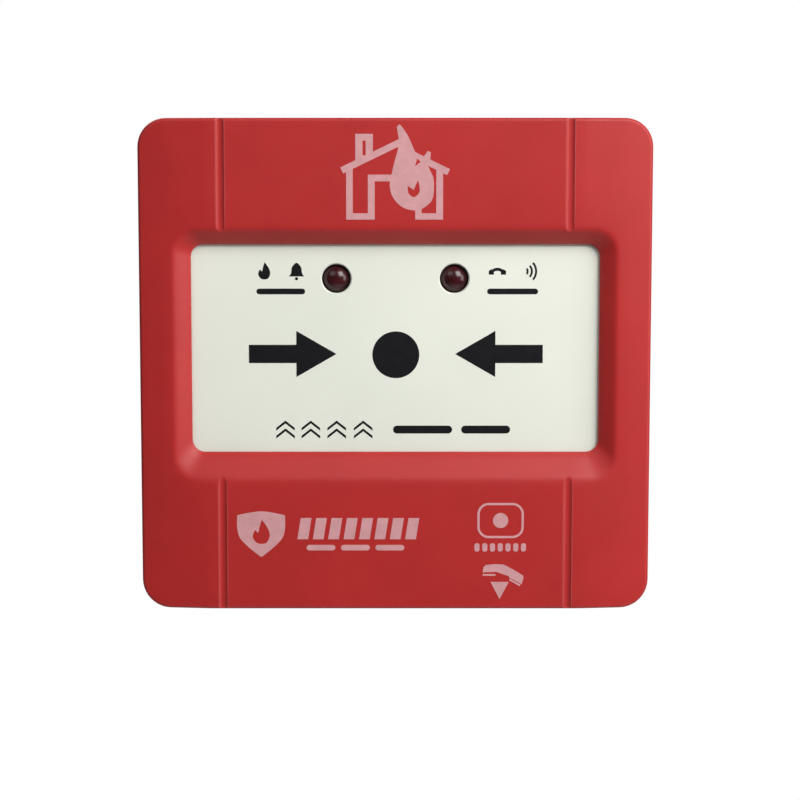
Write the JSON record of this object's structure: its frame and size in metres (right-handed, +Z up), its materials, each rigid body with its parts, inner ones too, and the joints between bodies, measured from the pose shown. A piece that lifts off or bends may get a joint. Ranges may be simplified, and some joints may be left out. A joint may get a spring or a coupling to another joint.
{
  "type": "manual call point",
  "caption": "Square wall-mounted manual call point with a recessed, hinged press panel, two signal lamps, a reset slide and a phone jack in its lower side.",
  "frame": {"origin": "centre of the wall face of the base tray", "axes": "+X to the right seen from the front, +Y into the wall, +Z up; the front faces -Y"},
  "size_m": [0.09, 0.044, 0.0864],
  "materials": {
    "red_shell": "satin moulded plastic with a fine grain",
    "white_panel": "smooth, slightly greenish white",
    "lamp_lens": "clear deep red, unlit",
    "black_moulding": "satin",
    "grey_moulding": "satin",
    "board_laminate": "solder mask",
    "capacitor_sleeve": "shrunk sleeve",
    "red_button": "satin",
    "steel": "zinc plated",
    "nickel_bush": "nickel plated",
    "brass_contact": "bright strip"
  },
  "bodies": {
    "base": {"base_tray": "red_shell", "terminal_block_upper": "black_moulding", "terminal_block_lower": "black_moulding", "terminal_screw_1": "steel", "terminal_screw_2": "steel", "terminal_screw_3": "steel", "terminal_screw_4": "steel", "contact_clip_1": "brass_contact", "contact_clip_2": "brass_contact", "contact_clip_3": "brass_contact", "contact_clip_4": "brass_contact"},
    "front_unit": {"contact_blade_1": "brass_contact", "contact_blade_2": "brass_contact", "contact_blade_3": "brass_contact", "contact_blade_4": "brass_contact", "front_cover": "red_shell", "rear_chassis": "grey_moulding", "cover_screw_1": "steel", "cover_screw_2": "steel", "cover_screw_3": "steel", "cover_screw_4": "steel", "circuit_board": "board_laminate", "board_screw_1": "steel", "board_screw_2": "steel", "chip": "black_moulding", "capacitor": "capacitor_sleeve", "signal_lamp_left": "lamp_lens", "lamp_spacer_left": "black_moulding", "signal_lamp_right": "lamp_lens", "lamp_spacer_right": "black_moulding", "support_frame": "grey_moulding", "frame_screw_1": "steel", "frame_screw_2": "steel", "frame_screw_3": "steel", "frame_screw_4": "steel", "hinge_rod": "steel", "rocker_pin": "steel", "toggle_spring": "steel", "microswitch_body": "black_moulding", "jack_body": "black_moulding", "jack_bush": "nickel_bush", "jack_tip_contact": "brass_contact", "reset_guide": "grey_moulding", "reset_spring": "steel"},
    "panel": {"press_panel": "white_panel", "drive_pin": "steel"},
    "rocker": {"rocker": "grey_moulding"},
    "switch_lever": {"switch_lever": "steel"},
    "switch_plunger": {"switch_plunger": "red_button"},
    "reset_slide": {"reset_slide": "grey_moulding"}
  },
  "joints": [
    {"name": "front_unit_unplug", "type": "slide", "parent": "base", "child": "front_unit", "axis": [0, -1, 0], "range_m": [0, 0.025]},
    {"name": "panel_press", "type": "hinge", "parent": "front_unit", "child": "panel", "pos_m": [0, -0.0367, 0.0204], "axis": [1, 0, 0], "range_deg": [0, 4]},
    {"name": "rocker_tilt", "type": "hinge", "parent": "front_unit", "child": "rocker", "pos_m": [0, -0.027, -0.016], "axis": [1, 0, 0], "range_deg": [-15.9, 0], "deforming": ["toggle_spring"]},
    {"name": "switch_lever_tilt", "type": "hinge", "parent": "front_unit", "child": "switch_lever", "pos_m": [0.0095, -0.0299, -0.008], "axis": [0, 0, 1], "range_deg": [0, 7.9]},
    {"name": "switch_plunger_slide", "type": "slide", "parent": "front_unit", "child": "switch_plunger", "axis": [0, 1, 0], "range_m": [0, 0.00056]},
    {"name": "reset_push", "type": "slide", "parent": "front_unit", "child": "reset_slide", "axis": [0, 0, 1], "range_m": [0, 0.0036], "stiffness_N_per_m": 150, "springref_m": -0.001, "deforming": ["reset_spring"]}
  ],
  "couplings": [
    {"joint": "rocker_tilt", "follows": "panel_press", "ratio": -3.96},
    {"joint": "switch_lever_tilt", "follows": "panel_press", "ratio": 1.96},
    {"joint": "switch_plunger_slide", "follows": "panel_press", "m_per_rad": 0.00788}
  ]
}
